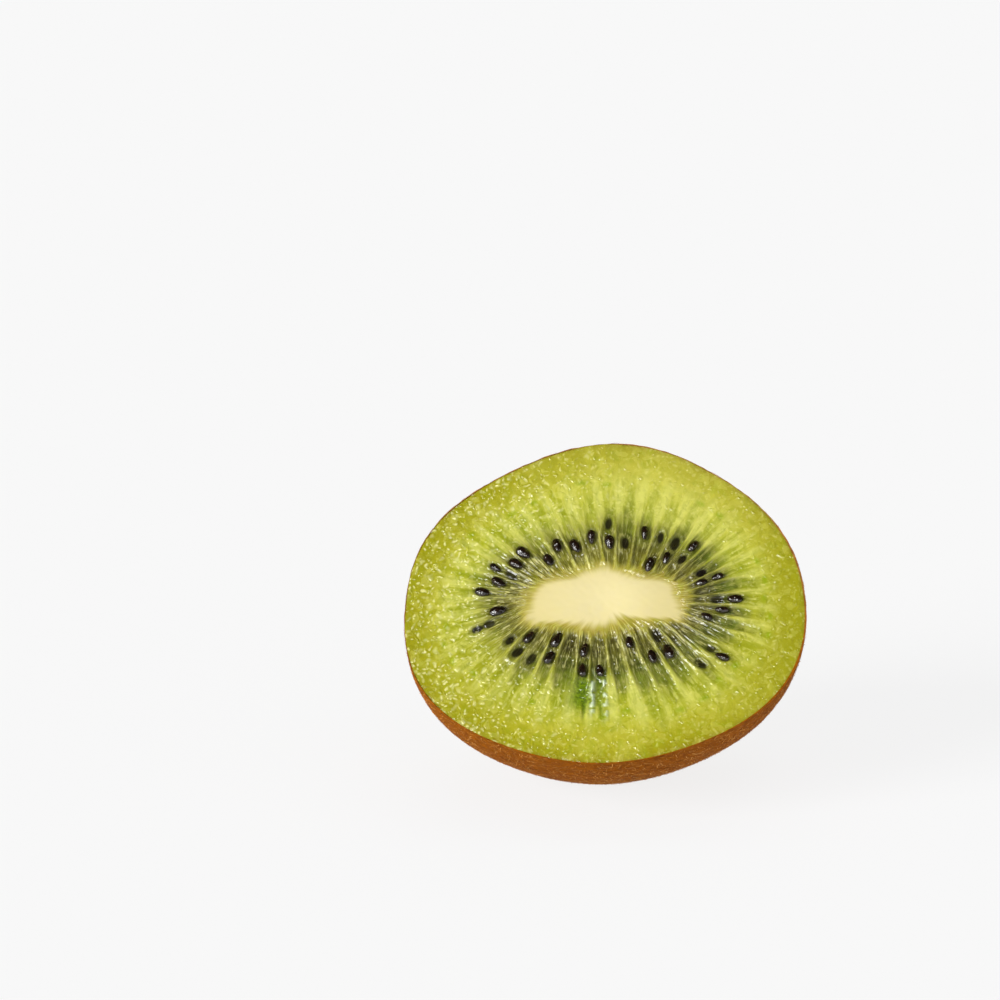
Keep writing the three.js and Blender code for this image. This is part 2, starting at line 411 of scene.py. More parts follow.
def tone_masks(turn, reach):
    """Where the outer flesh is duller, and where it is lighter."""
    dull = lobes(turn, DULL_RIGHT) * (1 - 0.7 * smooth(0.55, 0.7, reach)) + lobes(turn, DULL_LEFT)
    left_fade = 0.4 * smooth(0.6, 0.75, reach) * near_turn(turn, *DULL_LEFT[:2])
    dull = dull * smooth(0.2, 0.4, reach) * (1 - left_fade)
    dull = dull + lobes(turn, *RIM_SHADOWS) * smooth(0.6, 0.82, reach)
    light = lobes(turn, LIGHT_TOP) * smooth(0.3, 0.55, reach)
    return dull, light * (1 - 0.5 * smooth(0.75, 0.9, reach))


def face_masks(turn, reach, places):
    """What shows at each place of the cut: 0 where it doesn't, and about 1 where it does."""
    grain = Grain(turn, reach, places)
    blotch, fine_streak = grain.blotch, grain.fine_streak
    cream = cream_mask(turn, reach, grain)
    pale_ray, green_ray = ray_masks(reach, grain)
    dull, light = tone_masks(turn, reach)
    halo, rim, sunk = seed_masks(places, blotch)
    core_shadow = between(reach, (0.02, 0.08), (0.25, 0.4), fall_shift=0.05 * blotch)
    core_shadow = core_shadow * lobes(turn, *CORE_SHADOWS)
    streak_reach = between(reach, (0.28, 0.4), (0.54, 0.7), 0.03 * blotch, 0.05 * fine_streak)
    deep = near_turn(turn, DEEP_STREAK_TURN, 7.5 - 3 * reach)
    # Two lines of juice drops, painted pale: partly whitish gel, partly painted glints
    juice = sum(near_turn(turn, juice_turn, JUICE_WIDTH) for juice_turn in JUICE_TURNS)
    juice = juice * streak_reach * smooth(-0.2, 0.3, noise(grain.flat, 0.45, 25))
    # Rows between the core and the seeds where glints are painted as short bright strokes, none
    # over sunk seeds
    dash = (0.2 + lobes(turn, *GLINT_ROWS)) * (1 - sunk)
    dash = dash * between(reach, (-0.02, 0.04), (0.2, 0.4), fall_shift=0.05 * blotch)
    middle = (places - [0, CORE_RISE]) / CREAM_MIDDLE
    bare = 1 - cream
    return {
        "chamber": chamber_mask(turn, reach, grain) * bare,
        "wall": wall_mask(turn, reach, grain) * bare,
        "pale_ray": pale_ray,
        "green_ray": green_ray,
        "bundle": bundle_mask(reach, grain),
        "deep": np.maximum(deep, lobes(turn, FAINT_STREAK)) * streak_reach,
        "juice": juice,
        "halo": np.maximum(halo, core_shadow) * bare,
        "sunk": sunk,
        "rim": np.maximum(rim, juice) * (0.7 + 0.6 * blotch) * bare,
        "cream": cream,
        "reach": reach,
        # Wettest on the left: the juice relief is higher there, and the glints painted into the
        # dots are denser and brighter
        "wet": 0.25 + 0.75 * smooth(-0.3, 0.9, np.cos(turn - WETTEST_GLINT_TURN)),
        "dash": np.minimum(dash, 1.0) * bare,
        "dull": dull,
        "light": light,
        "middle": bell(np.hypot(middle[..., 0], middle[..., 1]), 1.0),
        "fine_streak": 0.5 + 0.5 * fine_streak,
    }


def face_height(reach, places, masks):
    """The relief of the cut in millimetres."""
    flat = raised(places, 0 * reach)
    height = -CHAMBER_DEPTH * masks["chamber"] * (0.7 + 0.3 * masks["fine_streak"])
    height += WALL_HEIGHT * masks["wall"] + SEED_RIM_HEIGHT * masks["rim"]
    height += JUICE_HEIGHT * masks["juice"] - DEEP_STREAK_DEPTH * masks["deep"]
    flesh_share = smooth(0.3, 0.6, reach)
    fibre_share = (1 - flesh_share) * (1 - masks["cream"])
    height += swells(flat, (4.5, 0.12, 21))
    height += flesh_share * swells(flat, (0.9, 0.045, 22), (0.45, 0.02, 23))
    height += FIBRE_HEIGHT * (masks["fine_streak"] - 0.5) * fibre_share
    height += masks["cream"] * swells(flat, (0.6, 0.015, 31))
    height += CORE_CROWN * (1 - smooth(-0.25, 0.02, reach))
    height -= RIM_DROP * smooth(0.965, 1.0, reach) ** 2
    return height


def stem_relief(distance):
    """The nub and dimple of the stem end, as depth added to the back."""
    nub = STEM_NUB_HEIGHT * (1 - smooth(STEM_NUB_TOP, STEM_NUB_FOOT, distance))
    return nub - STEM_DIMPLE_DEPTH * bell(distance, STEM_DIMPLE_RADIUS)


def nub_share(places):
    """1 on the woody top of the nub and 0 on the rest of the skin."""
    beside = np.linalg.norm(places[..., :2], axis=-1)
    near_stem = 1 - smooth(STEM_NUB_TOP, STEM_NUB_FOOT, beside)
    return near_stem * smooth(*STEM_DEPTHS, -places[..., 2])


def band_shade_share(places):
    """1 where painted shade makes the skin darker and redder, which is near the cut on the lower
    side.
    """
    beside = np.linalg.norm(places[..., :2], axis=-1).clip(1)
    ragged = BAND_SHADE_PATCH_DEPTH * noise(places, BAND_SHADE_PATCH_SIZE, 61) - places[..., 2]
    return (1 - smooth(*BAND_SHADE_SIDE, places[..., 1] / beside)) * (1 - smooth(*BAND_SHADE_DEPTHS, ragged))


def back_place(turn, share, inset=0.0):
    """A place of the rounded back. Share is 1 at the face's edge and 0 at the stem end."""
    depth = BACK_DEPTH * (1 - share**BACK_ROUNDNESS) ** (1 / BACK_ROUNDNESS)
    bulge = np.sin(np.pi * depth / BACK_DEPTH)
    swell = 1 + bulge * swell_at(BACK_WAVES, turn)
    flat = face_outline(turn, share) * swell[..., None]
    distance = np.linalg.norm(flat, axis=-1)
    depth = depth + stem_relief(distance)
    shrink = (1 - inset / (FACE_HEIGHT / 2)) + np.zeros_like(depth)
    return raised(flat, -depth) * shrink[..., None]


def add_object(name, data):
    made = bpy.data.objects.new(name, data)
    bpy.context.scene.collection.objects.link(made)
    return made


def add_mesh(name, points, faces, material):
    mesh = bpy.data.meshes.new(name)
    mesh.from_pydata(points.tolist(), [], faces)
    mesh.shade_smooth()
    mesh.materials.append(material)
    piece = add_object(name, mesh)
    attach(piece, "root")
    return piece


def rings_of(surface, turn, shares, *inset):
    """Rings of a rounded surface, one for each share of its size at the cut."""
    return np.stack([surface(turn, np.full(len(turn), share), *inset) for share in shares])


def ring_faces(rings, columns):
    """Quads between neighbouring rings, and fans to a first and a last point."""
    column = np.arange(columns)
    following = (column + 1) % columns
    ring = (np.arange(rings - 1) * columns)[:, None]
    quads = np.stack([
        ring + column, ring + columns + column, ring + columns + following, ring + following,
    ], -1).reshape(-1, 4)
    first = rings * columns
    start = np.stack([np.full(columns, first), column, following], -1)
    last_ring = (rings - 1) * columns
    close = np.stack([np.full(columns, first + 1), last_ring + following, last_ring + column], -1)
    return quads.tolist() + start.tolist() + close.tolist()


def set_attribute(piece, name, values):
    values = np.asarray(values, np.float32)
    kind = "FLOAT" if values.ndim == 1 else "FLOAT_VECTOR"
    attribute = piece.data.attributes.new(name, kind, "POINT")
    attribute.data.foreach_set("value" if kind == "FLOAT" else "vector", values.ravel())


def set_bake_map(piece, places):
    """Gives each point its own place in a square map."""
    layer = piece.data.uv_layers.new(name="OFBake")
    corners = np.zeros(len(piece.data.loops), np.int32)
    piece.data.loops.foreach_get("vertex_index", corners)
    layer.data.foreach_set("uv", places[corners].astype(np.float32).ravel())


def shade(red, green, blue):
    """A colour given as it looks on a screen, 0 to 255, in the shader's linear numbers."""
    def linear(part):
        part = part / 255
        return part / 12.92 if part <= 0.04045 else ((part + 0.055) / 1.055) ** 2.4
    return (linear(red), linear(green), linear(blue))


class Material:
    """Short calls for building one node material round its Principled shader."""

    def __init__(self, name):
        self.material = bpy.data.materials.new(name)
        self.material.use_nodes = True
        self.tree = self.material.node_tree
        self.shader = self.tree.nodes["Principled BSDF"]

    def node(self, kind, inputs=None, **settings):
        made = self.tree.nodes.new(kind)
        for name, value in settings.items():
            setattr(made, name, value)
        for name, value in (inputs or {}).items():
            self.put(made.inputs[name], value)
        return made

    def put(self, socket, value):
        if isinstance(value, bpy.types.NodeSocket):
            self.tree.links.new(value, socket)
        elif isinstance(value, tuple) and len(value) == 3 and socket.type == "RGBA":
            socket.default_value = (*value, 1)
        else:
            socket.default_value = value

    def set(self, **values):
        for name, value in values.items():
            self.put(self.shader.inputs[name.replace("_", " ")], value)

    def mask(self, name, output="Fac"):
        """What set_attribute has given the mesh under this name."""
        return self.node("ShaderNodeAttribute", attribute_name=name).outputs[output]

    def position(self):
        return self.node("ShaderNodeTexCoord").outputs["Object"]

    def noise(self, scale, detail, vector=None, roughness=0.55):
        vector = vector or self.position()
        inputs = {"Vector": vector, "Scale": scale, "Detail": detail, "Roughness": roughness}
        return self.node("ShaderNodeTexNoise", inputs).outputs["Fac"]

    def cells(self, scale, vector=None, output="Distance"):
        inputs = {"Vector": vector or self.position(), "Scale": scale}
        return self.node("ShaderNodeTexVoronoi", inputs).outputs[output]

    def math(self, operation, first, second=0.0):
        made = self.node("ShaderNodeMath", operation=operation)
        self.put(made.inputs[0], first)
        self.put(made.inputs[1], second)
        return made.outputs[0]

    def times(self, first, *others):
        for other in others:
            first = self.math("MULTIPLY", first, other)
        return first

    def range(self, value, low, high, to_low=0.0, to_high=1.0):
        """A soft step from to_low, at low, to to_high, at high."""
        made = self.node("ShaderNodeMapRange", interpolation_type="SMOOTHSTEP")
        for place, number in enumerate((value, low, high, to_low, to_high)):
            self.put(made.inputs[place], number)
        return made.outputs[0]

    def ridges(self, value, width, height=1.0):
        """Thin lines where a noise crosses its middle."""
        from_middle = self.math("ABSOLUTE", self.math("SUBTRACT", value, 0.5))
        return self.range(from_middle, width, 0.0, 0.0, height)

    def ramp(self, value, *stops):
        """Colours by a value, each given with its place and as it looks on a screen."""
        made = self.node("ShaderNodeValToRGB", {"Fac": value})
        elements = made.color_ramp.elements
        while len(elements) < len(stops):
            elements.new(0.5)
        for element, (place, colour) in zip(elements, stops):
            element.position = place
            element.color = (*shade(*colour), 1)
        return made.outputs["Color"]

    def mix(self, amount, *colours):
        """A mix of two colours, each a socket or given as it looks on a screen."""
        made = self.node("ShaderNodeMix", data_type="RGBA")
        self.put(made.inputs[0], amount)
        for place, colour in zip((6, 7), colours):
            self.put(made.inputs[place], shade(*colour) if isinstance(colour, tuple) else colour)
        return made.outputs[2]

    def layers(self, colour, *layers):
        """Lays colours over one another, each with the share of it that shows."""
        for share, tint in layers:
            colour = self.mix(share, colour, tint)
        return colour

    def bump(self, height, distance, strength=1.0, below=None):
        inputs = {"Height": height, "Distance": distance * MM, "Strength": strength}
        if below is not None:
            inputs["Normal"] = below
        return self.node("ShaderNodeBump", inputs).outputs["Normal"]

    def bumps(self, *layers):
        """Bumps over each other, each given as a height and its size in millimetres."""
        below = None
        for height, distance in layers:
            below = self.bump(height, distance, below=below)
        return below


# Colours of the green flesh by reach
FLESH_BY_REACH = (
    (0.0, (150, 132, 36)),
    (0.06, (136, 126, 34)),
    (0.2, (140, 137, 44)),
    (0.35, (154, 156, 42)),
    (0.5, (178, 180, 44)),
    (0.66, (186, 185, 50)),
    (0.8, (176, 171, 38)),
    (0.9, (163, 158, 20)),
    (0.96, (152, 145, 6)),
    (1.0, (142, 126, 2)),
)

# Sizes of the wet dots and of the larger spots of painted glint, as cells to a metre
DOT_CELLS = 1400
GLINT_SPOT_CELLS = 1000


def cut_textures(m):
    """The noises and masks that several layers of the cut share."""
    t = SimpleNamespace()
    t.rays = m.mask("ray", "Vector")
    t.reach = m.mask("reach")
    t.cream = m.mask("cream")
    t.wet = m.mask("wet")
    t.not_cream = m.range(t.cream, 0.6, 0.1)
    t.outer = m.range(t.reach, 0.35, 0.5)
    t.inner = m.range(t.reach, 0.52, 0.36)
    t.fibre = m.noise(34, 3, t.rays)
    t.fine_fibre = m.noise(70, 2, t.rays)
    t.mottle = m.noise(800, 2)
    t.speckle = m.noise(2400, 3, roughness=0.65)
    t.clouds = m.noise(160, 2)
    t.broken = m.range(m.noise(1100, 2), 0.4, 0.6)
    row = m.noise(58, 1.5, t.rays, roughness=0.6)
    gaps = m.range(m.noise(1000, 1), 0.44, 0.54)
    # Painted glints: short bright strokes along the rows, with dark slits beside them
    t.dashes = m.times(m.range(row, 0.54, 0.61), gaps, m.mask("dash"))
    t.slits = m.times(m.range(row, 0.47, 0.4), m.mask("dash"))
    shifts = m.node("ShaderNodeTexNoise", {"Vector": m.position(), "Scale": 700, "Detail": 1})
    t.shaken = m.mix(0.0015, m.position(), shifts.outputs["Color"])
    undisturbed = m.range(m.mask("deep"), 0.1, 0.6, 1.0, 0.1)
    t.grainy = m.times(t.outer, undisturbed, m.range(t.wet, 0.25, 1.0, 0.75, 1.0))
    return t


def flesh_colour(m, t):
    rayed = m.range(t.reach, 0.85, 0.55)
    return m.layers(
        m.ramp(t.reach, *FLESH_BY_REACH),
        (m.range(t.mottle, 0.46, 0.7, 0, 0.55), (150, 158, 8)),
        (m.range(t.clouds, 0.45, 0.7, 0, 0.3), (202, 198, 76)),
        (m.times(m.mask("pale_ray"), 0.65), (205, 207, 108)),
        (m.times(m.mask("green_ray"), 0.6), (122, 140, 8)),
        (m.times(m.mask("dull"), 0.4), (150, 148, 14)),
        (m.times(m.mask("light"), 0.35), (218, 212, 110)),
        (m.times(m.range(t.fibre, 0.5, 0.36, 0, 0.45), rayed), (142, 150, 16)),
        (m.times(m.range(t.fibre, 0.5, 0.64, 0, 0.6), rayed), (210, 208, 100)),
        (m.times(m.mask("bundle"), 0.8), (138, 160, 0)),
        (m.range(t.speckle, 0.54, 0.68, 0, 0.22), (214, 210, 104)),
    )


def chamber_colour(m, t):
    mottled = m.range(t.mottle, 0.35, 0.65)
    near_core = m.mix(mottled, (50, 44, 4), (94, 88, 22))
    far_out = m.mix(mottled, (50, 62, 6), (96, 110, 26))
    colour = m.mix(m.range(t.reach, 0.12, 0.32), near_core, far_out)
    return m.mix(m.range(t.fine_fibre, 0.52, 0.7, 0, 0.25), colour, (124, 124, 44))


def thread_share(m, t):
    """Thin pale threads that run outward from the core."""
    lines = m.ridges(m.noise(24, 2.5, t.rays, roughness=0.6), 0.06)
    threads = m.ridges(m.noise(52, 2, t.rays, roughness=0.5), 0.07, 0.6)
    threads = m.times(threads, m.range(m.noise(420, 1), 0.45, 0.6))
    share = m.times(m.math("MAXIMUM", lines, threads), t.inner)
    return m.times(share, m.range(t.broken, 0, 1, 0.2, 0.6))


def add_inner_colour(m, t, colour):
    """Lays the chambers and walls, and all that lies in them, over the flesh."""
    walls = m.times(m.mask("wall"), m.range(t.fibre, 0.3, 0.6, 0.15, 0.7))
    deep_green = m.mix(m.range(t.speckle, 0.4, 0.6), (66, 94, 0), (112, 142, 2))
    return m.layers(
        colour,
        (m.mask("chamber"), chamber_colour(m, t)),
        (m.times(walls, m.range(t.broken, 0, 1, 0.5, 1.0)), (160, 159, 94)),
        (m.times(m.mask("halo"), 0.5), (48, 48, 4)),
        (thread_share(m, t), (172, 168, 92)),
        (m.times(t.slits, 0.7), (50, 48, 4)),
        # Painted glints along the rows by the core
        (m.times(t.dashes, 0.9), (226, 221, 146)),
        (m.times(m.mask("deep"), 0.9), deep_green),
        (m.mask("sunk"), (18, 11, 3)),
        # Juice drops: partly whitish gel, partly painted glints
        (m.times(m.mask("juice"), 0.9), (208, 222, 188)),
    )


def add_cream(m, t, colour):
    cream = m.mix(m.mask("middle"), (207, 193, 126), (230, 217, 164))
    cream = m.mix(m.range(t.clouds, 0.35, 0.7, 0, 0.3), cream, (228, 213, 150))
    cream = m.mix(m.range(t.cream, 0.3, 1.0), (196, 178, 84), cream)
    return m.mix(t.cream, colour, cream)


def add_grains_and_glint_dots(m, t, colour):
    """Lays dark and pale grains, pale dots that are partly pale tissue and partly painted glints,
    and a few larger painted glint spots over the outer flesh.
    """
    grain_colour = m.cells(DOT_CELLS, t.shaken, "Color")
    grain = m.node("ShaderNodeSeparateColor", {"Color": grain_colour}).outputs["Green"]
    # Pale dots: partly pale tissue, partly painted glints, denser and brighter on the wet side
    dots = m.times(m.range(m.cells(1300, t.shaken), 0.36, 0.12), t.grainy)
    dots = m.times(dots, m.range(t.wet, 0.2, 1.0, 0.5, 1.0))
    dot_and_glint_colour = m.mix(m.range(t.wet, 0.5, 1.0), (226, 221, 128), (233, 229, 152))
    # A few larger spots of painted glint, mostly on the wet side
    spots = m.times(m.range(m.cells(GLINT_SPOT_CELLS, t.shaken), 0.42, 0.05), t.grainy)
    shown = m.math("SUBTRACT", t.wet, m.cells(GLINT_SPOT_CELLS, t.shaken, "Color"))
    spots = m.times(spots, m.range(shown, 0.05, 0.4))
    return m.layers(
        colour,
        (m.times(m.range(grain, 0.5, 0.1, 0, 0.22), t.grainy), (148, 152, 14)),
        (m.times(m.range(grain, 0.6, 1.0, 0, 0.3), t.grainy), (214, 210, 100)),
        (m.times(dots, 0.72), dot_and_glint_colour),
        (m.times(spots, 0.45), (230, 229, 156)),
    )


def cut_bumps(m, t):
    """The fine relief of the flesh, and that of the film of juice on it."""
    fibres = m.times(t.fine_fibre, m.range(t.reach, 0.6, 0.4, 0.2, 1.0), t.not_cream)
    shown = m.math("SUBTRACT", t.wet, m.cells(DOT_CELLS, t.shaken, "Color"))
    dots = m.times(m.range(m.cells(DOT_CELLS, t.shaken), 0.55, 0.0), t.outer)
    dots = m.times(dots, m.range(shown, -0.45, 0.2, 0.45, 1.0))
    small_dots = m.times(m.range(m.cells(2100, t.shaken), 0.6, 0.05), t.outer)
    strands = m.times(m.noise(20, 1, t.rays), t.inner, t.not_cream)
    ripples = m.times(m.noise(800, 1), t.inner)
    gel_share = m.math("ADD", m.mask("wall"), m.range(t.inner, 0, 1, 0, 0.4))
    gel_share = m.math("MINIMUM", m.math("ADD", gel_share, m.mask("rim")), 1.0)
    gel = m.times(m.range(m.cells(1900, t.shaken), 0.55, 0.0), gel_share, t.not_cream)
    flesh = m.bumps((fibres, 0.035), (dots, 0.04))
    juice = m.bumps(
        (fibres, 0.015), (small_dots, 0.02), (dots, 0.135), (strands, 0.45),
        (ripples, 0.2), (gel, 0.1), (t.dashes, 0.12),
    )
    return flesh, juice


def cut_material(name):
    """The wet cut: cream core, dark seed chambers, pale walls and green outer flesh."""
    m = Material(name)
    t = cut_textures(m)
    colour = add_inner_colour(m, t, flesh_colour(m, t))
    colour = add_grains_and_glint_dots(m, t, add_cream(m, t, colour))
    flesh_bump, juice_bump = cut_bumps(m, t)
    dry_core = m.range(t.cream, 0.2, 0.9, 1.0, 0.2)
    m.set(
        Base_Color=colour,
        Normal=flesh_bump,
        Roughness=0.5,
        Subsurface_Weight=0.2,
        Subsurface_Radius=(1.0, 0.9, 0.25),
        Subsurface_Scale=0.001,
        Specular_IOR_Level=0.1,
        Coat_Weight=m.times(dry_core, m.range(t.outer, 0, 1, 1, 0.6)),
        Coat_IOR=1.6,
        Coat_Roughness=0.2,
        Coat_Normal=juice_bump,
    )
    return m.material


def skin_material():
    m = Material("skin")
    fuzz = m.noise(1400, 3, roughness=0.6)
    patches = m.noise(70, 3)
    specks = m.noise(420, 4, roughness=0.7)
    colour = m.layers(
        m.mix(m.range(patches, 0.35, 0.65), (164, 108, 54), (160, 128, 66)),
        (m.range(specks, 0.5, 0.75, 0, 0.6), (186, 128, 62)),
        # Painted shade: darker, redder skin low beside the cut
        (m.mask("band_shade"), (152, 84, 0)),
        (m.range(fuzz, 0.35, 0.6, 0.5, 0), (98, 54, 6)),
        (m.times(m.mask("nub"), m.range(specks, 0.4, 0.6, 0.3, 0.95)), (92, 50, 28)),
    )
    bump = m.bump(fuzz, 0.12, 0.7)
    bump = m.bump(m.times(m.mask("nub"), m.noise(900, 3)), 0.5, 1.0, bump)
    m.set(Base_Color=colour, Normal=bump, Roughness=0.8, Specular_IOR_Level=0.03)
    return m.material


def seed_material():
    m = Material("seed")
    pits = m.noise(2600, 2)
    colour = m.mix(m.range(pits, 0.4, 0.7), (18, 10, 3), (42, 24, 11))
    bump = m.bump(m.cells(4200), 0.02, 0.5)
    film = m.bump(m.noise(1500, 2), 0.35)
    m.set(Base_Color=colour, Normal=bump, Roughness=0.45, Specular_IOR_Level=0.1)
    m.set(Coat_Weight=1.0, Coat_IOR=1.7, Coat_Roughness=0.12, Coat_Normal=film)
    return m.material


def hair_material():
    m = Material("skin_hair")
    tone = m.mask("tone")
    brown = m.ramp(tone, (0.0, (124, 80, 36)), (0.5, (178, 122, 54)), (1.0, (210, 152, 74)))
    # Painted shade: darker, redder hairs low beside the cut
    shaded_colour = m.ramp(tone, (0.0, (118, 56, 0)), (0.6, (168, 90, 0)), (1.0, (226, 162, 84)))
    colour = m.mix(m.mask("band_shade"), brown, shaded_colour)
    m.set(Base_Color=colour, Roughness=0.7, Specular_IOR_Level=0.03)
    return m.material


# Bake maps: hidden places have a small map in a corner
SMALL_MAP = 0.07
RIGHT_CORNER = np.array([1 - SMALL_MAP, 1 - SMALL_MAP])
LEFT_CORNER = np.array([SMALL_MAP, 1 - SMALL_MAP])
MAP_CENTRE = np.array([0.5, 0.5])
FACE_MAP_MARGIN = 0.01
CORE_MAP_WIDTH = 0.9
SKIN_MAP_RADIUS = 0.43

# Flesh: the cut, its edge, the underside inside the skin and the hollow for the core
COLUMNS = 900
FACE_RINGS = 92
FACE_RING_SPREAD = 0.95
BACK_INSIDE_SHARES = (0.985, 0.93, 0.8, 0.6, 0.35)
BACK_INSIDE_END = 2.0
HOLLOW_SHARES = (0.995, 0.9, 0.6, 0.3)
SHARP_CUT_EDGE = math.radians(70)
SHARP_SKIN_EDGE = math.radians(60)


def core_surface(turn, share):
    middle = np.array([0, CORE_RISE])
    flat = (core_outline(turn) - middle) * share[..., None] + middle
    depth = CORE_DEPTH * (1 - share**CORE_ROUNDNESS) ** (1 / CORE_ROUNDNESS)
    return raised(flat, -depth)


def flesh_reach(turn):
    """The reach of the flesh's edge, a little short of the outline."""
    full = np.linalg.norm(face_outline(turn) - core_outline(turn), axis=-1)
    return 1 - skin_thickness(turn) / full


def ray_vectors(turn, reach):
    """Places in which noise runs out along the rays of the fruit."""
    return np.stack([np.cos(turn), np.sin(turn), reach * 0.2], -1)


def make_flesh(material):
    turn = even_turns(COLUMNS)
    hollow = rings_of(core_surface, turn, HOLLOW_SHARES[::-1])
    shares = np.linspace(0, 1, FACE_RINGS) ** FACE_RING_SPREAD
    reach = shares[:, None] * flesh_reach(turn)[None]
    turns = np.broadcast_to(turn, reach.shape)
    places = face_place(turns, reach)
    masks = face_masks(turns, reach, places)
    face = raised(places, face_height(reach, places, masks))
    back = rings_of(back_place, turn, BACK_INSIDE_SHARES, skin_thickness(turn))
    rings = np.concatenate([hollow, face, back])
    ends = np.array([[0, CORE_RISE, -CORE_DEPTH], [0, 0, BACK_INSIDE_END - BACK_DEPTH]])
    points = to_world(np.concatenate([rings.reshape(-1, 3), ends]))
    points[:, 2] = np.maximum(points[:, 2], SKIN_THICKNESS * MM)
    piece = add_mesh("cut_flesh", points, ring_faces(len(rings), COLUMNS), material)
    piece.data.set_sharp_from_angle(angle=SHARP_CUT_EDGE)

    def spread(values, inner, outer):
        """The face's values, with one value for the hollow inside it and one for the back."""
        below = np.repeat(values[:1] * 0 + inner, len(hollow), 0)
        beyond = np.repeat(values[:1] * 0 + outer, len(back), 0)
        return np.append(np.concatenate([below, values, beyond]).ravel(), [inner, outer])

    for name, values in masks.items():
        edge = {"reach": (0.2, 1.0)}.get(name, (0.0, 0.0))
        set_attribute(piece, name, spread(values, *edge))
    turns = np.broadcast_to(turn, (len(rings), COLUMNS))
    reaches = spread(reach, 0.0, 1.0)
    set_attribute(piece, "ray", ray_vectors(np.append(turns.ravel(), [0, 0]), reaches))

    face_map = MAP_CENTRE + face[..., :2] / (FACE_WIDTH * (1 + 2 * FACE_MAP_MARGIN))
    face_map[..., 1] -= (1 - FACE_HEIGHT / FACE_WIDTH) / 2 - FACE_MAP_MARGIN
    back_map = RIGHT_CORNER + back[..., :2] / FACE_WIDTH * SMALL_MAP
    hollow_map = LEFT_CORNER + hollow[..., :2] / FACE_WIDTH * SMALL_MAP
    maps = np.concatenate([hollow_map, face_map, back_map]).reshape(-1, 2)
    set_bake_map(piece, np.concatenate([maps, [LEFT_CORNER, RIGHT_CORNER]]))
    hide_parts("flesh")


# Core: a plug whose top is part of the cut
CORE_COLUMNS = 450
CORE_TOP_RINGS = 40
CORE_SIDE_SHARES = (0.995, 0.95, 0.8, 0.6, 0.35, 0.15)


def make_core(material):
    turn = even_turns(CORE_COLUMNS)
    shares = np.linspace(0, 1, CORE_TOP_RINGS + 1)[1:]
    middle = np.array([0, CORE_RISE])
    core_length = np.linalg.norm(core_outline(turn) - middle, axis=-1)
    ray_length = np.linalg.norm(face_outline(turn) - core_outline(turn), axis=-1)
    reach = (shares - 1)[:, None] * (core_length / ray_length)[None]
    turns = np.broadcast_to(turn, reach.shape)
    places = (core_outline(turns) - middle) * shares[:, None, None] + middle
    masks = face_masks(turns, reach, places)
    top = raised(places, face_height(reach, places, masks))
    side = rings_of(core_surface, turn, CORE_SIDE_SHARES)
    rings = np.concatenate([top, side])
    ends = np.array([[0, CORE_RISE, top[0, :, 2].mean()], [0, CORE_RISE, -CORE_DEPTH]])
    points = to_world(np.concatenate([rings.reshape(-1, 3), ends]))
    piece = add_mesh("core_flesh", points, ring_faces(len(rings), CORE_COLUMNS), material)
    piece.data.set_sharp_from_angle(angle=SHARP_CUT_EDGE)
    for name, values in masks.items():
        beyond = np.repeat(values[-1:], len(side), 0)
        end_values = [values[0].mean(), 0.0]
        set_attribute(piece, name, np.append(np.concatenate([values, beyond]).ravel(), end_values))
    turns = np.broadcast_to(turn, (len(rings), CORE_COLUMNS))
    reaches = np.concatenate([reach, np.zeros((len(side), CORE_COLUMNS))])
    rays = ray_vectors(turns, reaches).reshape(-1, 3)
    set_attribute(piece, "ray", np.append(rays, np.zeros((2, 3)), 0))
    top_map = MAP_CENTRE + (places - middle) / CORE_WIDTH * CORE_MAP_WIDTH
    side_map = RIGHT_CORNER + (side[..., :2] - middle) / CORE_WIDTH * SMALL_MAP
    maps = np.concatenate([top_map, side_map]).reshape(-1, 2)
    set_bake_map(piece, np.concatenate([maps, [MAP_CENTRE, RIGHT_CORNER]]))
    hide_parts("core")


# Skin: a thin shell over the back
SKIN_COLUMNS = 480
SKIN_RINGS = 150
SKIN_INSIDE_SHARES = (0.3, 0.6, 0.85, 0.95, 1.0)
SKIN_POLE_THICKNESS = 0.5


def make_skin(material):
    turn = even_turns(SKIN_COLUMNS)
    angle = np.linspace(0, 1, SKIN_RINGS + 1)[:-1]
    shares = np.cos(angle * np.pi / 2) ** (2 / BACK_ROUNDNESS)
    outer = rings_of(back_place, turn, shares)
    inner = rings_of(back_place, turn, SKIN_INSIDE_SHARES, skin_thickness(turn))
    rough = swells(outer, (0.9, 0.05, 41), (2.5, 0.04, 42))
    rough = rough + nub_share(outer) * swells(outer, (0.7, 0.12, 43))
    outer = outer + unit(outer) * rough[..., None]
    rings = np.concatenate([inner, outer])
    pole = BACK_DEPTH + stem_relief(0.0)
    ends = np.array([[0, 0, SKIN_POLE_THICKNESS - pole], [0, 0, -pole]])
    places = np.concatenate([rings.reshape(-1, 3), ends])
    points = to_world(places)
    points[:, 2] = np.maximum(points[:, 2], 0)
    piece = add_mesh("skin", points, ring_faces(len(rings), SKIN_COLUMNS), material)
    piece.data.set_sharp_from_angle(angle=SHARP_SKIN_EDGE)
    set_attribute(piece, "band_shade", band_shade_share(places))
    set_attribute(piece, "nub", nub_share(places))
    ways = np.stack([np.cos(turn), np.sin(turn)], -1)
    outer_map = MAP_CENTRE + SKIN_MAP_RADIUS * (1 - angle)[:, None, None] * ways
    inner_radius = np.array(SKIN_INSIDE_SHARES)[:, None, None] * SMALL_MAP / 2
    maps = np.concatenate([RIGHT_CORNER + inner_radius * ways, outer_map]).reshape(-1, 2)
    set_bake_map(piece, np.concatenate([maps, [RIGHT_CORNER, MAP_CENTRE]]))
    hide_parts("flesh")


# Seeds: flattened drops with a blunt point towards the core
SEED_COLUMNS = 20
SEED_RINGS = 13
SEED_BLUNTNESS = 0.9
SEED_POINT = (0.08, 0.34)
SEED_GIRTH = (0.84, 1.12)
SEED_TILT = (-0.15, 0.15)
SEED_LIFT = (-0.05, 0.15)


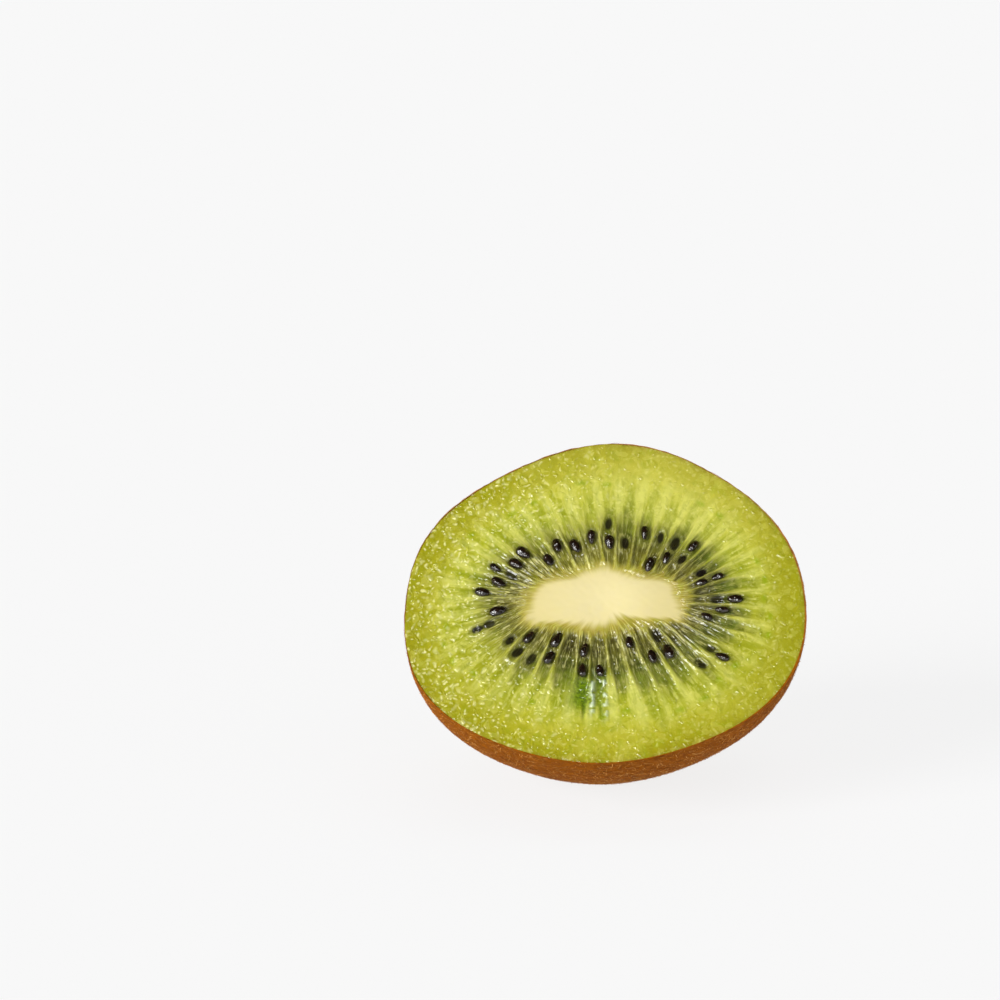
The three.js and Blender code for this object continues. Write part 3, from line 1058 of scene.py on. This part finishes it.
def make_seeds(material):
    turn = even_turns(SEED_COLUMNS)
    along = np.linspace(0, np.pi, SEED_RINGS + 2)[1:-1]
    points = []
    faces = []
    one = ring_faces(SEED_RINGS, SEED_COLUMNS)
    for seed in seeds:
        if not seed["open"]:
            continue
        number = seed["number"]
        point = pick(number, 23, *SEED_POINT)
        girth = np.sin(along) ** SEED_BLUNTNESS * (1 + point * np.cos(along))
        half_width = SEED_WIDTH / 2 * pick(number, 24, *SEED_GIRTH)
        length = np.cos(along)[:, None] * SEED_LENGTH / 2
        rings = np.stack([
            np.broadcast_to(length, (SEED_RINGS, SEED_COLUMNS)),
            girth[:, None] * np.cos(turn) * half_width,
            girth[:, None] * np.sin(turn) * SEED_THICKNESS / 2,
        ], -1).reshape(-1, 3)
        body = np.concatenate([rings, [[SEED_LENGTH / 2, 0, 0], [-SEED_LENGTH / 2, 0, 0]]])
        tilt = Matrix.Rotation(pick(number, 15, *SEED_TILT), 3, "Y")
        turned = np.array(Matrix.Rotation(seed["angle"], 3, "Z") @ tilt)
        start = len(points) * len(body)
        place = [*seed["place"], pick(number, 16, *SEED_LIFT)]
        points.append(body * seed["size"] @ turned.T + place)
        faces += [[corner + start for corner in face] for face in one]
    piece = add_mesh("seeds", to_world(np.concatenate(points)), faces, material)
    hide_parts("flesh")


# Hairs: curved blades that lie along the skin
FUZZ = {"count": 24000, "joints": 4, "length": (0.5, 1.1), "width": 0.055, "curl": 0.9}
CURLS = {"count": 13000, "joints": 5, "length": (0.8, 1.7), "width": 0.095, "curl": 1.4}
HAIR_STAND = (0.03, 0.32)
HAIR_HEADING_SPREAD = 0.8
HAIR_SWIRL = 1.6
HAIR_SWIRL_SIZE = 7.0
HAIR_ROOT_LIFT = 0.02
HAIR_TAPER = 0.6
HAIR_OVER_RIM = 0.15
HAIR_OVER_FLOOR = 0.05
HAIRLESS_NUB_SHARE = 0.7
NEARLY_STEM = 0.995  # just short of the stem end
SKIN_BEND_RADIUS = 25.0
SMALL_STEP = 1e-3


def skin_ways(turn, share, root):
    """Unit vectors along the skin towards the stem end, round it and out of it."""
    along = unit(back_place(turn, np.clip(share - SMALL_STEP, 0, 1)) - root)
    around = unit(back_place(turn + SMALL_STEP, share) - root)
    normal = np.cross(around, along)
    normal *= np.sign((normal * root).sum(-1))[:, None]
    return along, around, normal


def hair_blades(kind, draw):
    """The corners of every blade, joint by joint, in the frame of the cut face."""
    count, joints = kind["count"], kind["joints"]
    turn = draw.uniform(0, 2 * np.pi, count)
    angle = np.arcsin(draw.uniform(0, 1, count))
    share = np.cos(angle * NEARLY_STEM) ** (2 / BACK_ROUNDNESS)
    root = back_place(turn, share)
    along, around, normal = skin_ways(turn, share, root)
    heading = draw.normal(0, HAIR_HEADING_SPREAD, count)
    heading = heading + HAIR_SWIRL * noise(root, HAIR_SWIRL_SIZE, 51)
    flat = along * np.cos(heading)[:, None] + around * np.sin(heading)[:, None]
    side = np.cross(flat, normal)
    length = draw.uniform(*kind["length"], count)
    stand = draw.uniform(*HAIR_STAND, count) ** 1.5
    curl = draw.normal(0, kind["curl"], count)
    points = np.zeros((count, 2 * joints + 1, 3))
    place = root + normal * HAIR_ROOT_LIFT
    for joint in range(joints + 1):
        share_out = joint / joints
        out = flat * np.cos(curl * share_out)[:, None] + side * np.sin(curl * share_out)[:, None]
        rise = length * stand * share_out * (1.4 - 0.7 * share_out)
        rise = rise - (length * share_out) ** 2 / (2 * SKIN_BEND_RADIUS)
        middle = place + normal * rise[:, None]
        if joint == joints:
            points[:, -1] = middle
            break
        half = kind["width"] / 2 * (1 - HAIR_TAPER * share_out) * np.cross(out, normal)
        points[:, 2 * joint] = middle - half
        points[:, 2 * joint + 1] = middle + half
        place = place + length[:, None] / joints * out
    return points


def make_hairs(name, kind, material):
    draw = np.random.default_rng(kind["count"])
    points = hair_blades(kind, draw)
    world = to_world(points)
    keep = world[..., 2].min(axis=1) > HAIR_OVER_FLOOR * MM
    keep &= points[..., 2].max(axis=1) < HAIR_OVER_RIM
    keep &= nub_share(points[:, 0]) < HAIRLESS_NUB_SHARE
    points, world = points[keep], world[keep]
    tip = 2 * kind["joints"]
    blade = [[corner, corner + 1, corner + 3, corner + 2] for corner in range(0, tip - 2, 2)]
    blade.append([tip - 2, tip - 1, tip])
    starts = np.arange(len(world)) * (tip + 1)
    faces = []
    for corners in blade:
        faces += (starts[:, None] + np.array(corners)).tolist()
    piece = add_mesh(name, world.reshape(-1, 3), faces, material)
    tone = draw.uniform(0, 1, kind["count"])[keep]
    set_attribute(piece, "tone", np.repeat(tone, tip + 1))
    set_attribute(piece, "band_shade", np.repeat(band_shade_share(points[:, 0]), tip + 1))
    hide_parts("flesh")


# Stage: a white floor that glows a little, and a pale wall far away all round
STAGE_REACH = 3.0
FLOOR_TONE = 0.12
FLOOR_GLOW = 0.83
BACKDROP_REACH = 2.97
BACKDROP_HEIGHT = 4.0
BACKDROP_SIDES = 64
BACKDROP_GLOW = 0.93
STUDIO_GLOW = 0.2


def make_stage_piece(name, corners, faces, **look):
    m = Material(name)
    m.set(Specular_IOR_Level=0.0, Emission_Color=(1.0, 1.0, 1.0), **look)
    mesh = bpy.data.meshes.new(name)
    mesh.from_pydata(corners, [], faces)
    mesh.materials.append(m.material)
    piece = add_object(name, mesh)
    return piece


def make_floor():
    square = [(-1, -1), (1, -1), (1, 1), (-1, 1)]
    corners = [(STAGE_REACH * x, STAGE_REACH * y, 0) for x, y in square]
    look = {"Base_Color": (FLOOR_TONE,) * 3, "Roughness": 0.7, "Emission_Strength": FLOOR_GLOW}
    make_stage_piece("floor", corners, [(0, 1, 2, 3)], **look)


def make_backdrop():
    """A pale wall all round, far away, that is only seen and lights nothing."""
    angles = even_turns(BACKDROP_SIDES)
    ring = BACKDROP_REACH * np.stack([np.cos(angles), np.sin(angles)], -1)
    corners = [(x, y, z) for z in (0, BACKDROP_HEIGHT) for x, y in ring.tolist()]
    faces = []
    for side in range(BACKDROP_SIDES):
        after = (side + 1) % BACKDROP_SIDES
        faces.append((side, after, after + BACKDROP_SIDES, side + BACKDROP_SIDES))
    look = {"Base_Color": (0.0, 0.0, 0.0), "Emission_Strength": BACKDROP_GLOW}
    wall = make_stage_piece("backdrop", corners, faces, **look)
    for way in ("diffuse", "glossy", "transmission", "shadow"):
        setattr(wall, "visible_" + way, False)


def add_light(name, azimuth, elevation, spread, strength, mirrored=False):
    """A far, round, soft light, either only mirrored in what shines or only lighting.

    Azimuth 0 is the camera's side and 90 the right, in degrees.
    """
    turn, rise = math.radians(azimuth), math.radians(elevation)
    flat = math.cos(rise)
    way = Vector((math.sin(turn) * flat, -math.cos(turn) * flat, math.sin(rise)))
    data = bpy.data.lights.new(name, "SUN")
    data.energy = strength
    data.angle = math.radians(spread)
    light = add_object(name, data)
    light.visible_glossy = mirrored
    light.visible_diffuse = not mirrored
    light.visible_transmission = not mirrored
    light.rotation_mode = "QUATERNION"
    light.rotation_quaternion = (-way).to_track_quat("-Z", "Y")


def make_camera():
    """Stands as in the photo, and turns so that the fruit lies off the picture's middle."""
    below, beside = CAMERA_BELOW_NORMAL, CAMERA_RIGHT_OF_NORMAL
    back = math.sin(beside) * right_way - math.sin(below) * math.cos(beside) * up_way
    back = back + math.cos(below) * math.cos(beside) * out_way
    side = unit(right_way - back * (right_way @ back))
    up = np.cross(back, side)
    off_x = (PICTURE_SIZE / 2 - FACE_CENTRE_PIXEL[0]) / PIXELS_PER_MM
    off_y = (FACE_CENTRE_PIXEL[1] - PICTURE_SIZE / 2) / PIXELS_PER_MM
    eye = face_centre + back * CAMERA_DISTANCE
    aim = face_centre + side * off_x + up * off_y
    backward = unit(eye - aim)
    sideways = unit(side - backward * (side @ backward))
    upward = np.cross(backward, sideways)
    turned = Matrix(np.stack([sideways, upward, backward], 1).tolist()).to_4x4()
    data = bpy.data.cameras.new("camera")
    data.sensor_width = SENSOR
    data.lens = SENSOR * PIXELS_PER_MM * CAMERA_DISTANCE / PICTURE_SIZE
    data.clip_start = 0.01
    camera = add_object("camera", data)
    camera.matrix_world = Matrix.Translation(Vector(eye * MM)) @ turned
    bpy.context.scene.camera = camera


def make_world():
    world = bpy.data.worlds.new("studio")
    bpy.context.scene.world = world
    world.use_nodes = True
    inputs = world.node_tree.nodes["Background"].inputs
    inputs["Color"].default_value = (1, 1, 1, 1)
    inputs["Strength"].default_value = STUDIO_GLOW
    world.cycles_visibility.glossy = False
    bpy.context.scene.view_settings.view_transform = "Standard"


make_flesh(cut_material("cut_flesh"))
make_core(cut_material("core_flesh"))
make_skin(skin_material())
make_seeds(seed_material())
hair = hair_material()
make_hairs("skin_fuzz", FUZZ, hair)
make_hairs("skin_curls", CURLS, hair)
make_floor()
make_backdrop()
make_world()
add_light("key", azimuth=-58, elevation=22, spread=34, strength=3.5)
add_light("fill", azimuth=50, elevation=30, spread=80, strength=0.8)
add_light("back", azimuth=170, elevation=55, spread=60, strength=0.6)
add_light("glint", azimuth=-28, elevation=9, spread=35, strength=4.0, mirrored=True)
make_camera()
